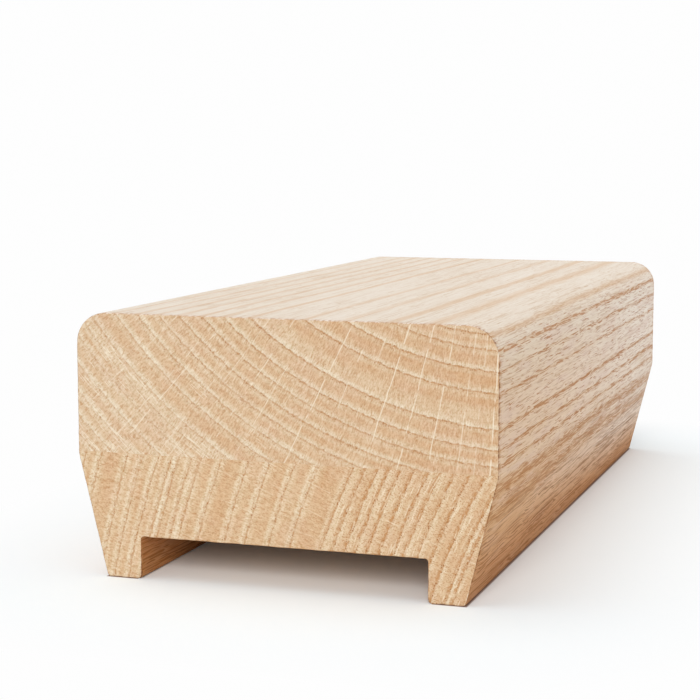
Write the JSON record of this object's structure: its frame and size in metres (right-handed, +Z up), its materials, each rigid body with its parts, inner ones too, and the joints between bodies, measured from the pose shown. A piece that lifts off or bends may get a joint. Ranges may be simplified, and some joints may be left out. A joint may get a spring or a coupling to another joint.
{
  "type": "plowed handrail",
  "caption": "Straight length of wooden stair handrail with a flat top, rounded grip corners and sides that taper in below to legs either side of a wide, shallow square plow.",
  "frame": {"origin": "middle of the rail's footprint, on the surface that its two legs stand on and under the middle of its length", "axes": "+Y along the rail, +X across it, +Z up from the plow to the flat top"},
  "size_m": [0.0666, 0.1396, 0.041],
  "materials": {
    "upper_board_oak": "planed and sanded, unfinished oak",
    "lower_board_oak": "planed and sanded, unfinished oak"
  },
  "bodies": {
    "root": {"upper_board": "upper_board_oak", "lower_board": "lower_board_oak"}
  },
  "joints": []
}
